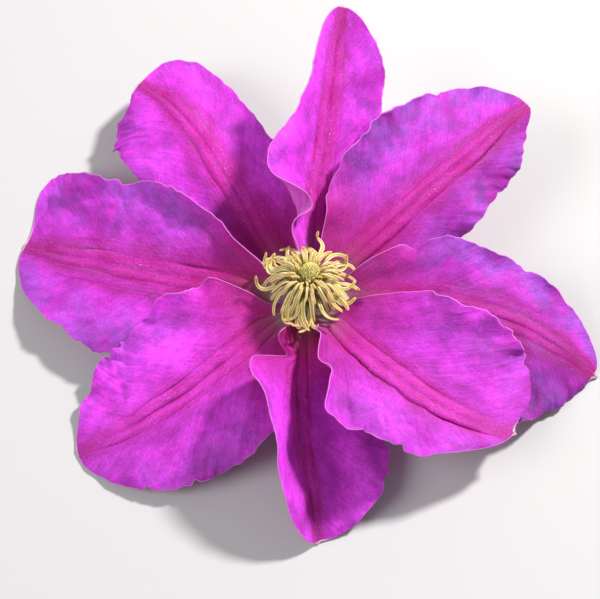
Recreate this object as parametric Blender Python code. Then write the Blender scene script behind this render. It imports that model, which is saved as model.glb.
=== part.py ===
"""A clematis flower as picked: it lies face up on its recurved tepals and its short cut stalk.

Frame: +Z up, the resting surface at Z 0, the flower's front towards -Y.
Lengths below are in millimetres and angles in degrees; MM turns a length into metres.
"""

from math import cos, pi, radians, sin

import bmesh
import bpy
import numpy as np
from mathutils import Vector
from mathutils.bvhtree import BVHTree

MM = 0.001

# Driving dimensions
CENTRE_HEIGHT = 15.0      # the plane where the tepals leave the receptacle, above the surface
ROOT_RADIUS = 4.7         # from the flower's axis to a tepal's root
TEPAL_THICKNESS = 0.6
LAYER_STEP = 1.3          # least height from one tepal's middle surface to the next one's
PROBES = ((0, 0), (2, 0), (-2, 0), (0, 2), (0, -2))    # mm aside, where that height is measured
RECEPTACLE_RADIUS = 4.2
RECEPTACLE_DEPTH = 3.0    # below the centre plane
RECEPTACLE_TOP = 6.5      # above the centre plane
STAMEN_START = 3.0        # the outermost stamens leave the receptacle this far above it
STALK_RADIUS = 1.2
STALK_REACH = 46.0        # how far back the cut end lies from the axis
STALK_AZIMUTH = 100.0
STAMEN_COUNT = 48
STYLE_TUFT_RADIUS = 2.8
STYLE_TUFT_TOP = 19.0     # above the centre plane
CLEARANCE = 0.3           # gap between pieces that touch on the real flower

ROWS = 18                 # mesh steps along a tepal
HALF_COLUMNS = 7          # mesh steps from its midrib to either margin
TIP_CROWDING = 1.5        # above 1, the steps grow shorter towards the round tip

# A tepal's stations are equally spaced from its root to its tip. "left" and "right" are its
# counter-clockwise and clockwise halves, seen from above.
#   azimuth  direction in which it leaves the axis       bend   how far its midrib turns from that
#   pitch    climb of the midrib                         width  of each half
#   rise     tilt of each half beside the midrib         curl   further tilt gained at the margin
#   ruffle   tilt, count and start of the margin's waves
#   tip      bluntness of the tip                        crease width of the trough by the midrib
#   level    height of the root above the centre plane
#   sweep    how far each margin runs on past the tip
TEPALS = {
    "tepal_back": dict(
        azimuth=84, bend=(0, -1, -2, -2), length=80, pitch=(16, 20, 26, 24), level=0.3, tip=7,
        width=((1.4, 14, 20, 12, 8, 8), (1.4, 10, 14, 15, 16, 12)),
        rise=((50, 46, 30, 45, 45, 40), (-12, -8, 0, 0)), curl=((60, 50, 0, 0), (0, 0, 0, 0)),
        ruffle=((10, 3, 0), (0, 3, 0))),
    "tepal_back_right": dict(
        azimuth=42, bend=(0, 0, 0, 0), length=82, pitch=(12, 10, 6, 2), level=0.5, tip=6,
        width=((1.4, 17, 23, 24, 23, 19), (1.4, 12, 17, 16, 15, 8)),
        rise=((22, 18, 10, 5), (-14, -16, -14, -10)), curl=((40, 20, 0, 0), (-10, -20, -30, -20)),
        ruffle=((15, 3, 0), (20, 4, 0))),
    "tepal_right": dict(
        azimuth=-5, bend=(0, -1, -10, -26), length=82, pitch=(10, 0, -18, -30), level=0.8, tip=6,
        width=((1.4, 14, 19, 18, 16, 13), (1.4, 12, 20, 26, 30, 24)),
        rise=((20, 16, 8, 5), (-14, -12, -10, -6)), curl=((20, 20, 0, -10), (0, 0, -10, -20)),
        ruffle=((15, 3, 0), (10, 4, 0))),
    "tepal_front_right": dict(
        azimuth=-55, bend=(0, 13, 24, 54), length=66, pitch=(18, 4, -14, -16), level=1.2, tip=9,
        width=((1.4, 17, 26, 30, 29, 28), (1.4, 12, 23, 20, 11, 5)), sweep=(18, 0),
        rise=((14, 10, 6, 0), (22, 18, 10, 5)), curl=((20, 10, -10, -30), (20, 30, 0, -10)),
        ruffle=((15, 3, 0), (30, 4, 0))),
    "tepal_front": dict(
        azimuth=-98, bend=(0, 5, 20, 18), length=65, pitch=(8, -6, -22, -30), level=0.6, tip=6,
        width=((1.4, 14, 22, 24, 25, 20), (1.4, 14, 17, 15, 13, 12)),
        rise=((-6, -8, -6, -4), (30, 34, 60, 60, 58, 50)), curl=((0, 0, 0, 0), (10, 10, 0, 0)),
        ruffle=((10, 3, 0), (5, 4, 0)), crease=0.06),
    "tepal_front_left": dict(
        azimuth=-136, bend=(0, -6, -16, -38), length=74, pitch=(10, -6, -20, -28), level=0.4, tip=7,
        width=((1.4, 18, 24, 24, 20, 11), (1.4, 18, 25, 24, 25, 20)),
        rise=((-10, -10, -8, -8), (24, 18, 10, 5)), curl=((0, 0, -10, -10), (30, 20, 0, 0)),
        ruffle=((10, 3, 0), (20, 4, 0))),
    "tepal_left": dict(
        azimuth=171, bend=(0, -4, -12, -22), length=85, pitch=(6, -2, -16, -28), level=0.0, tip=12,
        width=((1.4, 14, 24, 25, 19, 12), (1.4, 14, 24, 25, 27, 35)), sweep=(0, 17),
        rise=((-12, -10, -8, -6), (26, 24, 12, 5)), curl=((0, 0, 0, 0), (50, 60, 0, 0)),
        ruffle=((10, 3, 0), (20, 3, 0))),
    "tepal_back_left": dict(
        azimuth=122, bend=(0, -2, 0, 24), length=86, pitch=(2, 2, 2, -20), level=-0.4, tip=10,
        width=((1.4, 12, 18, 22, 24, 24), (1.4, 12, 20, 18, 18, 22)), sweep=(5, 9),
        rise=((-8, -10, -14, -10), (-6, -6, -6, -6)), curl=((0, 0, -10, -20), (0, 0, 0, 0)),
        ruffle=((10, 3, 0), (10, 3, 0))),
}

# From the undermost tepal to the uppermost
STACK = ("tepal_back_left", "tepal_back", "tepal_left", "tepal_back_right", "tepal_front_left",
         "tepal_right", "tepal_front", "tepal_front_right")

# Tepals whose tips droop onto the surface
RESTING = ("tepal_right", "tepal_front", "tepal_front_left", "tepal_left")

# Stamens from the outermost ring to the innermost, read between the numbers for those in between.
# Each filament climbs, bends over, and its anther falls outwards; the outer tips curl
# back sideways.
STAMEN_CLIMB = (66, 77, 84, 88, 89)
ANTHER_CLIMB = (-20, -54, -60, -36, 40)
STAMEN_BEND = (0.42, 0.52, 0.60, 0.72, 0.86)      # where it bends, as a share of its length
STAMEN_LENGTH = (17.5, 16.4, 16.0, 14.4, 10.8)
HOOKED_SHARE = 0.36       # of the stamens, counted from the outermost, have curled tips

COLOURS = {
    "tepal": ((0.50, 0.05, 0.47), 0.55),
    "stamen": ((0.72, 0.62, 0.28), 0.60),
    "style": ((0.62, 0.62, 0.30), 0.65),
    "stalk": ((0.22, 0.34, 0.10), 0.55),
}


def clear_scene():
    for item in list(bpy.data.objects):
        bpy.data.objects.remove(item, do_unlink=True)


def material(name):
    colour, roughness = COLOURS[name]
    finish = bpy.data.materials.new(name)
    finish.use_nodes = True
    shader = finish.node_tree.nodes["Principled BSDF"]
    shader.inputs["Base Color"].default_value = (*colour, 1.0)
    shader.inputs["Roughness"].default_value = roughness
    shader.inputs["Metallic"].default_value = 0.0
    return finish


def add_object(name, mesh_builder, finish):
    """Turn a bmesh in millimetres into a named, smooth-shaded object in metres."""
    bmesh.ops.scale(mesh_builder, vec=(MM, MM, MM), verts=mesh_builder.verts)
    bmesh.ops.recalc_face_normals(mesh_builder, faces=mesh_builder.faces)
    mesh = bpy.data.meshes.new(name)
    mesh_builder.to_mesh(mesh)
    mesh_builder.free()
    mesh.materials.append(finish)
    mesh.shade_smooth()
    piece = bpy.data.objects.new(name, mesh)
    bpy.context.scene.collection.objects.link(piece)
    return piece


def along(stations, share):
    """Smooth curve through equally spaced stations, read at shares from 0 to 1."""
    values = np.asarray(stations, float)
    steps = len(values) - 1
    place = np.clip(share, 0, 1) * steps
    index = np.minimum(place.astype(int), steps - 1)
    t = place - index
    padded = np.concatenate([[2 * values[0] - values[1]], values, [2 * values[-1] - values[-2]]])
    a, b, c, d = (padded[index + k] for k in range(4))
    return 0.5 * (2 * b + (c - a) * t + (2 * a - 5 * b + 4 * c - d) * t**2
                  + (3 * b - a - 3 * c + d) * t**3)


def directions(pitch, heading):
    """Unit vectors that climb at pitch and point towards heading, both in radians."""
    level = np.cos(pitch)
    return np.stack([level * np.cos(heading), level * np.sin(heading), np.sin(pitch)], -1)


def tepal_surface(spec, droop):
    """Middle surface of one tepal as rows from root to tip and columns from right to left."""
    share = 1 - (1 - np.linspace(0, 1, ROWS + 1)) ** TIP_CROWDING
    azimuth = radians(spec["azimuth"])

    def pitch_and_heading(at):
        pitch = np.radians(along(spec["pitch"], at) - droop * at**2)
        return pitch, azimuth + np.radians(along(spec["bend"], at))

    lengths = spec["length"] * (share[1:] - share[:-1])
    steps = directions(*pitch_and_heading((share[1:] + share[:-1]) / 2)) * lengths[:, None]
    root = np.array([ROOT_RADIUS * cos(azimuth), ROOT_RADIUS * sin(azimuth),
                     CENTRE_HEIGHT + spec["level"]])
    midrib = root + np.concatenate([np.zeros((1, 3)), np.cumsum(steps, 0)])
    pitch, heading = pitch_and_heading(share)
    forward = directions(pitch, heading)
    sideways = np.stack([-np.sin(heading), np.cos(heading), np.zeros_like(heading)], -1)
    upward = np.cross(forward, sideways)

    rounding = np.sqrt(np.clip(1 - share ** spec["tip"], 0, 1))
    rises = [along(spec["rise"][side], share) for side in (0, 1)]
    roll, fold = (rises[0] - rises[1]) / 2, (rises[0] + rises[1]) / 2
    across = np.linspace(0, 1, HALF_COLUMNS + 1)
    between = (across[1:] + across[:-1]) / 2
    crease = spec.get("crease", 0.15)
    surface = np.zeros((ROWS + 1, 2 * HALF_COLUMNS + 1, 3))
    for side, sign in ((0, 1), (1, -1)):
        width = along(spec["width"][side], share) * rounding
        curl = along(spec["curl"][side], share)
        height, count, start = spec["ruffle"][side]
        wave = height * np.sin(2 * pi * (count * share + start)) * np.sqrt(np.sin(pi * share))
        tilt = (sign * roll[:, None] + fold[:, None] * np.tanh(between / crease)
                + curl[:, None] * between**2 + wave[:, None] * between**3)
        tilt = np.radians(tilt)
        step = width[:, None] / HALF_COLUMNS
        start_column = np.zeros((ROWS + 1, 1))
        out = np.concatenate([start_column, np.cumsum(np.cos(tilt) * step, 1)], 1)
        lift = np.concatenate([start_column, np.cumsum(np.sin(tilt) * step, 1)], 1)
        half = midrib[:, None] + sign * sideways[:, None] * out[..., None]
        half = half + upward[:, None] * lift[..., None]
        sweep = spec.get("sweep", (0, 0))[side] * (share * rounding)[:, None]**2 * across**2
        half = half + forward[:, None] * sweep[..., None]
        if side == 0:
            surface[:, HALF_COLUMNS:] = half
        else:
            surface[:, HALF_COLUMNS::-1] = half
    return surface


def settled_surface(name):
    """The tepal, drooped further or less until its lowest point rests, if it reaches down."""
    spec = TEPALS[name]
    if name not in RESTING:
        return tepal_surface(spec, 0.0)
    rest_height = TEPAL_THICKNESS / 2
    least, most = -30.0, 30.0
    for _ in range(24):
        droop = (least + most) / 2
        if tepal_surface(spec, droop)[..., 2].min() > rest_height:
            least = droop
        else:
            most = droop
    return tepal_surface(spec, least)


def grid_faces():
    columns = 2 * HALF_COLUMNS + 1
    faces = []
    for row in range(ROWS):
        for column in range(columns - 1):
            corner = row * columns + column
            faces.append((corner, corner + 1, corner + columns + 1, corner + columns))
    return faces


def lift_over(surface, lower_trees):
    """Raise a tepal where it would come closer than a layer's step to those under it."""
    need = np.zeros(surface.shape[:2])
    down = Vector((0, 0, -1))
    for row, column in np.ndindex(need.shape):
        x, y, z = surface[row, column]
        for tree in lower_trees:
            for aside, ahead in PROBES:
                hit = tree.ray_cast(Vector((x + aside, y + ahead, 200.0)), down)[0]
                if hit is not None:
                    need[row, column] = max(need[row, column], hit.z + LAYER_STEP - z)
    lift = need.copy()
    for _ in range(6):
        padded = np.pad(lift, 1, mode="edge")
        blurred = (padded[:-2, 1:-1] + padded[2:, 1:-1] + padded[1:-1, :-2] + padded[1:-1, 2:]) / 4
        lift = np.maximum(need, (lift + blurred) / 2)
    raised = surface.copy()
    raised[..., 2] += lift
    return raised


def layered_tepals():
    """All the tepals' middle surfaces, each one clear of those under it."""
    surfaces, trees = {}, []
    for name in STACK:
        surface = lift_over(settled_surface(name), trees)
        surfaces[name] = surface
        points = [Vector(point) for point in surface.reshape(-1, 3)]
        trees.append(BVHTree.FromPolygons(points, grid_faces()))
    return surfaces


def build_tepal(name, surface, finish):
    builder = bmesh.new()
    points = [builder.verts.new(point) for point in surface.reshape(-1, 3)]
    for corners in grid_faces():
        builder.faces.new([points[corner] for corner in corners])
    bmesh.ops.remove_doubles(builder, verts=builder.verts, dist=0.05)
    bmesh.ops.dissolve_degenerate(builder, edges=builder.edges, dist=0.02)
    piece = add_object(name, builder, finish)
    wall = piece.modifiers.new("Thickness", "SOLIDIFY")
    wall.thickness = TEPAL_THICKNESS * MM
    wall.offset = 0.0
    wall.use_even_offset = False
    return piece


def turned(profile, sides):
    """Closed solid turned about Z from a profile of (radius, height), both ends on the axis."""
    builder = bmesh.new()
    rings = []
    for radius, height in profile:
        if radius == 0:
            rings.append([builder.verts.new((0, 0, height))])
        else:
            turn = 2 * pi / sides
            rings.append([builder.verts.new((radius * cos(k * turn), radius * sin(k * turn), height))
                          for k in range(sides)])
    for lower, upper in zip(rings, rings[1:]):
        join_rings(builder, lower, upper)
    return builder


def join_rings(builder, first, second):
    count = max(len(first), len(second))
    for k in range(count):
        corners = [first[k % len(first)], first[(k + 1) % len(first)],
                   second[(k + 1) % len(second)], second[k % len(second)]]
        builder.faces.new(list(dict.fromkeys(corners)))


def tube(points, radii, sides):
    """Closed round solid along a path, with a flat face at each end."""
    builder = bmesh.new()
    rings = []
    points = [Vector(point) for point in points]
    side_axis = None
    for index, (point, radius) in enumerate(zip(points, radii)):
        before, after = points[max(index - 1, 0)], points[min(index + 1, len(points) - 1)]
        forward = (after - before).normalized()
        if side_axis is None:
            side_axis = forward.orthogonal().normalized()
        side_axis = (side_axis - forward * side_axis.dot(forward)).normalized()
        other_axis = forward.cross(side_axis)
        turn = 2 * pi / sides
        rings.append([builder.verts.new(point + radius * (cos(k * turn) * side_axis
                                                          + sin(k * turn) * other_axis))
                      for k in range(sides)])
    for first, second in zip(rings, rings[1:]):
        join_rings(builder, first, second)
    builder.faces.new(rings[0])
    builder.faces.new(rings[-1])
    return builder


def receptacle_radius(height):
    """Radius of the receptacle's dome at a height above the centre plane."""
    return RECEPTACLE_RADIUS * (1 - (max(height, 0.0) / (RECEPTACLE_TOP * 1.25)) ** 2) ** 0.5


def build_receptacle(finish):
    bottom = -RECEPTACLE_DEPTH
    profile = [(0, bottom), (STALK_RADIUS + 0.3, bottom), (2.8, bottom + 0.6), (3.8, bottom + 1.8)]
    profile += [(receptacle_radius(height), height)
                for height in (0.0, 1.5, 3.0, 4.5, 5.6, RECEPTACLE_TOP)]
    profile += [(0, RECEPTACLE_TOP)]
    builder = turned(profile, 24)
    bmesh.ops.translate(builder, vec=(0, 0, CENTRE_HEIGHT), verts=builder.verts)
    return add_object("receptacle", builder, finish)


def build_stalk(finish):
    """A stalk that leaves the receptacle downwards and lies back along the surface."""
    top = CENTRE_HEIGHT - RECEPTACLE_DEPTH - CLEARANCE
    azimuth = radians(STALK_AZIMUTH)
    turn_radius = top - STALK_RADIUS
    route = []
    for k in range(8):
        angle = radians(90 * k / 7)
        route.append((turn_radius * (1 - cos(angle)), top - turn_radius * sin(angle)))
    flat_run = np.linspace(turn_radius, STALK_REACH, 8)[1:]
    route += [(reach, STALK_RADIUS) for reach in flat_run]
    points = [(reach * cos(azimuth), reach * sin(azimuth), height) for reach, height in route]
    builder = tube(points, [STALK_RADIUS] * len(points), 12)
    return add_object("stalk", builder, finish)


def build_styles(finish):
    base = RECEPTACLE_TOP + CLEARANCE
    radius = STYLE_TUFT_RADIUS
    profile = [(0, base), (radius * 0.6, base), (radius * 0.6, base + 5), (radius, STYLE_TUFT_TOP - 3),
               (radius * 0.85, STYLE_TUFT_TOP - 1.2), (radius * 0.5, STYLE_TUFT_TOP - 0.3),
               (0, STYLE_TUFT_TOP)]
    builder = turned(profile, 16)
    bmesh.ops.translate(builder, vec=(0, 0, CENTRE_HEIGHT), verts=builder.verts)
    return add_object("styles", builder, finish)


def smooth_step(value, low, high):
    """0 below low, 1 above high, and an even curve between."""
    t = np.clip((value - low) / (high - low), 0, 1)
    return t * t * (3 - 2 * t)


def stamen_path(index, count, steps):
    """Route of one stamen, from the receptacle's dome to the tip of its anther."""
    inward = index / (count - 1)            # 0 for the outermost, 1 beside the styles
    turn = index * radians(137.5)
    height = STAMEN_START + (RECEPTACLE_TOP - 0.2 - STAMEN_START) * inward
    start_radius = receptacle_radius(height) + CLEARANCE + 0.1
    hooked = max(0.0, 1 - inward / HOOKED_SHARE) ** 0.5
    climb = along(STAMEN_CLIMB, inward)
    fall = along(ANTHER_CLIMB, inward) + 7 * sin(5.1 * index) - climb
    bend = along(STAMEN_BEND, inward)
    hook = (100 + 25 * sin(3.7 * index)) * hooked
    side = 1 if sin(1.3 * index) > 0 else -1
    swing = side * (120 + 40 * sin(2.3 * index)) * hooked + 11 * sin(1.9 * index)
    length = along(STAMEN_LENGTH, inward) + 1.4 * sin(2.2 * index) * hooked
    share = np.linspace(0, 1, steps + 1)
    middle = (share[1:] + share[:-1]) / 2
    pitch = climb + fall * smooth_step(middle, bend - 0.18, bend + 0.15)
    pitch = np.radians(pitch + hook * smooth_step(middle, 0.60, 0.96))
    heading = turn + np.radians(swing * smooth_step(middle, 0.56, 1.0))
    path = np.concatenate([np.zeros((1, 3)), np.cumsum(directions(pitch, heading), 0)])
    start = [start_radius * cos(turn), start_radius * sin(turn), CENTRE_HEIGHT + height]
    return np.array(start) + path * length / steps


def build_stamen(index, finish):
    """A thin filament and a thicker anther, both slimmer towards the middle of the flower."""
    slimness = 1 - 0.25 * index / (STAMEN_COUNT - 1)
    radii = [slimness * radius for radius in
             (0.30, 0.31, 0.32, 0.34, 0.42, 0.50, 0.50, 0.50, 0.50, 0.50, 0.42, 0.20)]
    path = stamen_path(index, STAMEN_COUNT, len(radii) - 1)
    return add_object("stamen_%02d" % (index + 1), tube(path, radii, 6), finish)


def centre_on_origin():
    """Put the middle of the whole flower's box over the origin, where it rests."""
    depsgraph = bpy.context.evaluated_depsgraph_get()
    corners = np.array([corner[:] for piece in bpy.context.scene.objects
                        for corner in piece.evaluated_get(depsgraph).bound_box])
    middle = (corners.min(0) + corners.max(0)) / 2
    for piece in bpy.context.scene.objects:
        piece.location = (-middle[0], -middle[1], 0.0)


def main():
    clear_scene()
    finishes = {name: material(name) for name in COLOURS}
    for name, surface in layered_tepals().items():
        build_tepal(name, surface, finishes["tepal"])
    build_receptacle(finishes["stalk"])
    build_stalk(finishes["stalk"])
    build_styles(finishes["style"])
    for index in range(STAMEN_COUNT):
        build_stamen(index, finishes["stamen"])
    centre_on_origin()


main()
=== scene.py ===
"""Looks of the clematis flower: veined tepals, a boss of curling stamens, styles and stalk.

Each visible piece is modelled here at its CAD place and stands for its CAD node.
Lengths in the tables are millimetres and angles degrees; MM turns a length into metres.
"""

from math import cos, pi, radians, sin

import bmesh
import bpy
import numpy as np
from mathutils import Matrix, Vector, noise
from mathutils.bvhtree import BVHTree


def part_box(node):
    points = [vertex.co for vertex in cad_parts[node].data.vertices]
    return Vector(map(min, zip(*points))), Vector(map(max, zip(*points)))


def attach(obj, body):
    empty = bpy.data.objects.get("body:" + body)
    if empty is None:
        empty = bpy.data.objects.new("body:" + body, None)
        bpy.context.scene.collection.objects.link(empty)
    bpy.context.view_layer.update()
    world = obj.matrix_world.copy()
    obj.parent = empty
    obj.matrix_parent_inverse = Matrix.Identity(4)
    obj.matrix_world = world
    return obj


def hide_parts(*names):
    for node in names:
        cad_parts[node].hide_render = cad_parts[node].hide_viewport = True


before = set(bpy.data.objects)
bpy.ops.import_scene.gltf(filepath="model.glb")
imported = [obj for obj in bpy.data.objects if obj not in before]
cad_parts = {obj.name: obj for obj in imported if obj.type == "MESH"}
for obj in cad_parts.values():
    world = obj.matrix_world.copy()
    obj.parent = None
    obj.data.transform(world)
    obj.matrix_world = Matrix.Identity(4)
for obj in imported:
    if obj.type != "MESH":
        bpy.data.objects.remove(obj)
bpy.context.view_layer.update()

MM = 0.001
GOLDEN_ANGLE = radians(137.5)          # from each stamen or style to the next
RECEPTACLE_DEPTH = 3.0     # below the plane where the tepals leave the receptacle


def frame_centre():
    """The flower's axis, from the styles' box, and the tepals' plane, from the receptacle's."""
    low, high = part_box("styles")
    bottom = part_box("receptacle")[0][2]
    middle = (Vector(low) + Vector(high)) / 2
    return Vector((middle.x, middle.y, bottom + RECEPTACLE_DEPTH * MM))


CENTRE = frame_centre()

# ---------------------------------------------------------------- tepal dimensions
ROOT_RADIUS = 4.7
TEPAL_THICKNESS = 0.6      # of the CAD wall, which the layers were spaced for
MIDRIB_WALL = 0.50         # of the wall shown, which thins towards the margins
MARGIN_WALL = 0.22
LAYER_STEP = 1.3
PROBES = ((0, 0), (2, 0), (-2, 0), (0, 2), (0, -2))    # mm aside, where that height is measured
TIP_CROWDING = 1.5
COARSE_ROWS, COARSE_HALF = 18, 7       # the mesh on which tepals are laid over each other
FINE_ROWS, FINE_HALF = 170, 52         # the mesh that is shown
FINE_GAP = 0.55            # least height between two tepals as shown
COARSE_PASSES, FINE_PASSES = 6, 14     # of smoothing where a tepal is raised over another
OVERHEAD = 200.0           # above the whole flower, where the heights of tepals are read from
BLADE_JOIN = 0.02          # points of a blade that are nearer than this become one
VEIN_BEND, VEIN_START = 8, 3           # how strongly veins bend to the margins, and from where

# A tepal's stations are equally spaced from its root to its tip. Half 0 is its counter-clockwise
# half and half 1 its clockwise half, seen from above.
#   azimuth  direction in which it leaves the axis       bend   how far its midrib turns from that
#   pitch    climb of the midrib                         width  of each half
#   rise     tilt of each half beside the midrib         curl   further tilt gained at the margin
#   ruffle   tilt, count and start of the margin's waves
#   tip      bluntness of the tip                        crease width of the trough by the midrib
#   level    height of the root above the centre plane
#   sweep    how far each margin runs on past the tip
TEPALS = {
    "tepal_back": dict(
        azimuth=84, bend=(0, -1, -2, -2), length=80, pitch=(16, 20, 26, 24), level=0.3, tip=7,
        width=((1.4, 14, 20, 12, 8, 8), (1.4, 10, 14, 15, 16, 12)),
        rise=((50, 46, 30, 45, 45, 40), (-12, -8, 0, 0)), curl=((60, 50, 0, 0), (0, 0, 0, 0)),
        ruffle=((10, 3, 0), (0, 3, 0))),
    "tepal_back_right": dict(
        azimuth=42, bend=(0, 0, 0, 0), length=82, pitch=(12, 10, 6, 2), level=0.5, tip=6,
        width=((1.4, 17, 23, 24, 23, 19), (1.4, 12, 17, 16, 15, 8)),
        rise=((22, 18, 10, 5), (-14, -16, -14, -10)), curl=((40, 20, 0, 0), (-10, -20, -30, -20)),
        ruffle=((15, 3, 0), (20, 4, 0))),
    "tepal_right": dict(
        azimuth=-5, bend=(0, -1, -10, -26), length=82, pitch=(10, 0, -18, -30), level=0.8, tip=6,
        width=((1.4, 14, 19, 18, 16, 13), (1.4, 12, 20, 26, 30, 24)),
        rise=((20, 16, 8, 5), (-14, -12, -10, -6)), curl=((20, 20, 0, -10), (0, 0, -10, -20)),
        ruffle=((15, 3, 0), (10, 4, 0))),
    "tepal_front_right": dict(
        azimuth=-55, bend=(0, 13, 24, 54), length=66, pitch=(18, 4, -14, -16), level=1.2, tip=9,
        width=((1.4, 17, 26, 30, 29, 28), (1.4, 12, 23, 20, 11, 5)), sweep=(18, 0),
        rise=((14, 10, 6, 0), (22, 18, 10, 5)), curl=((20, 10, -10, -30), (20, 30, 0, -10)),
        ruffle=((15, 3, 0), (30, 4, 0))),
    "tepal_front": dict(
        azimuth=-98, bend=(0, 5, 20, 18), length=65, pitch=(8, -6, -22, -30), level=0.6, tip=6,
        width=((1.4, 14, 22, 24, 25, 20), (1.4, 14, 17, 15, 13, 12)),
        rise=((-6, -8, -6, -4), (30, 34, 60, 60, 58, 50)), curl=((0, 0, 0, 0), (10, 10, 0, 0)),
        ruffle=((10, 3, 0), (5, 4, 0)), crease=0.06),
    "tepal_front_left": dict(
        azimuth=-136, bend=(0, -6, -16, -38), length=74, pitch=(10, -6, -20, -28), level=0.4, tip=7,
        width=((1.4, 18, 24, 24, 20, 11), (1.4, 18, 25, 24, 25, 20)),
        rise=((-10, -10, -8, -8), (24, 18, 10, 5)), curl=((0, 0, -10, -10), (30, 20, 0, 0)),
        ruffle=((10, 3, 0), (20, 4, 0))),
    "tepal_left": dict(
        azimuth=171, bend=(0, -4, -12, -22), length=85, pitch=(6, -2, -16, -28), level=0.0, tip=12,
        width=((1.4, 14, 24, 25, 19, 12), (1.4, 14, 24, 25, 27, 35)), sweep=(0, 17),
        rise=((-12, -10, -8, -6), (26, 24, 12, 5)), curl=((0, 0, 0, 0), (50, 60, 0, 0)),
        ruffle=((10, 3, 0), (20, 3, 0))),
    "tepal_back_left": dict(
        azimuth=122, bend=(0, -2, 0, 24), length=86, pitch=(2, 2, 2, -20), level=-0.4, tip=10,
        width=((1.4, 12, 18, 22, 24, 24), (1.4, 12, 20, 18, 18, 22)), sweep=(5, 9),
        rise=((-8, -10, -14, -10), (-6, -6, -6, -6)), curl=((0, 0, -10, -20), (0, 0, 0, 0)),
        ruffle=((10, 3, 0), (10, 3, 0))),
}

# From the undermost tepal to the uppermost
STACK = ("tepal_back_left", "tepal_back", "tepal_left", "tepal_back_right", "tepal_front_left",
         "tepal_right", "tepal_front", "tepal_front_right")

# Tepals whose tips droop onto the surface
RESTING = ("tepal_right", "tepal_front", "tepal_front_left", "tepal_left")

# Short turns of a margin, modelled only here. Each is its half, its middle and reach along the
# tepal, where across the half it starts (0 at the midrib, 1 at the margin) and its tilt.
TURNS = {
    "tepal_back": ((0, 0.27, 0.06, 0.62, 95), (0, 0.50, 0.10, 0.80, -35),
                   (1, 0.60, 0.05, 0.85, 30)),
    "tepal_back_right": ((1, 0.80, 0.04, 0.80, -40), (0, 0.72, 0.05, 0.88, 35),
                         (1, 0.62, 0.06, 0.70, 25), (1, 0.42, 0.10, 0.75, -25)),
    "tepal_right": ((0, 0.30, 0.12, 0.70, -40), (0, 0.55, 0.05, 0.86, 45),
                    (0, 0.72, 0.04, 0.86, 40), (1, 0.50, 0.05, 0.88, 30), (1, 0.80, 0.12, 0.72, 40)),
    "tepal_front_right": ((1, 0.17, 0.05, 0.50, 45), (1, 0.42, 0.05, 0.86, 35),
                          (0, 0.80, 0.10, 0.80, -30), (0, 0.55, 0.04, 0.86, 40)),
    "tepal_front": ((1, 0.16, 0.05, 0.40, 45), (1, 0.33, 0.07, 0.72, -55),
                    (0, 0.90, 0.10, 0.55, 30)),
    "tepal_front_left": ((1, 0.55, 0.30, 0.40, -28), (1, 0.24, 0.06, 0.80, -30),
                         (0, 0.60, 0.05, 0.88, -30)),
    "tepal_left": ((1, 0.40, 0.14, 0.62, -35), (1, 0.70, 0.06, 0.86, 30)),
    "tepal_back_left": ((1, 0.62, 0.05, 0.88, 30), (0, 0.80, 0.05, 0.86, -30),
                        (0, 0.50, 0.20, 0.60, 15)),
}

# Nicks and lobes in a margin: half, place along the tepal, reach along it, and how much of the
# half's width is lost (or, below 0, gained)
NICKS = {
    "tepal_back": ((0, 0.235, 0.030, 0.16),),
    "tepal_back_right": ((1, 0.70, 0.014, 0.06), (1, 0.88, 0.018, 0.09), (0, 0.78, 0.012, 0.04)),
    "tepal_right": ((0, 0.30, 0.028, 0.10), (0, 0.39, 0.040, -0.06), (0, 0.64, 0.014, 0.05),
                    (0, 0.80, 0.014, 0.05), (1, 0.90, 0.012, 0.04)),
    "tepal_front_right": ((1, 0.30, 0.024, 0.09), (1, 0.40, 0.030, -0.05), (1, 0.50, 0.020, 0.09),
                          (1, 0.57, 0.025, -0.05), (1, 0.64, 0.016, 0.10), (1, 0.72, 0.022, -0.05),
                          (0, 0.96, 0.050, -0.12)),
    "tepal_front": ((1, 0.10, 0.045, 0.42), (1, 0.225, 0.034, 0.72), (0, 0.80, 0.016, 0.05)),
    "tepal_front_left": ((1, 0.07, 0.035, 0.30), (1, 0.18, 0.045, -0.22), (1, 0.74, 0.012, 0.04),
                         (0, 0.66, 0.010, 0.05), (0, 0.80, 0.010, 0.06)),
    "tepal_left": ((1, 0.60, 0.016, 0.04), (0, 0.70, 0.014, 0.04)),
    "tepal_back_left": ((0, 0.86, 0.016, -0.07), (0, 0.91, 0.014, 0.05), (0, 0.985, 0.010, 0.35),
                        (0, 0.60, 0.012, 0.04)),
}

# How deep, in tenths of a millimetre, each tepal's three grooves are: clockwise, middle, other side
GROOVES = {
    "tepal_back": (2, 2, 2),
    "tepal_back_right": (5, 2, 1),
    "tepal_right": (2, 2, 1),
    "tepal_front_right": (7, 1, 3),
    "tepal_front": (1, 3, 2),
    "tepal_front_left": (3, 4, 3),
    "tepal_left": (3, 1, 2),
    "tepal_back_left": (1, 2, 2),
}

# Where the blade is crinkled more than elsewhere: half, middle and reach along it, and height
CRINKLES = {
    "tepal_back_right": (1, 0.76, 0.20, 1.6),
    "tepal_right": (1, 0.82, 0.18, 1.2),
    "tepal_front_right": (1, 0.36, 0.24, 1.3),
    "tepal_front_left": (1, 0.70, 0.20, 0.9),
    "tepal_back_left": (0, 0.84, 0.14, 1.2),
}

# Lobes that run on past a tepal's tip: middle and reach across it, and length
LOBES = {
    "tepal_front_right": (11, 8, 5.0),
    "tepal_left": (-16, 9, 4.5),
}

# Length of the point at each tepal's tip
POINTS = {
    "tepal_back": 0.2,
    "tepal_back_right": 0.2,
    "tepal_right": 1.5,
    "tepal_front_right": 1.1,
    "tepal_front": 0.8,
    "tepal_front_left": 0.3,
    "tepal_left": 0.4,
    "tepal_back_left": 0.2,
}

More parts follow.
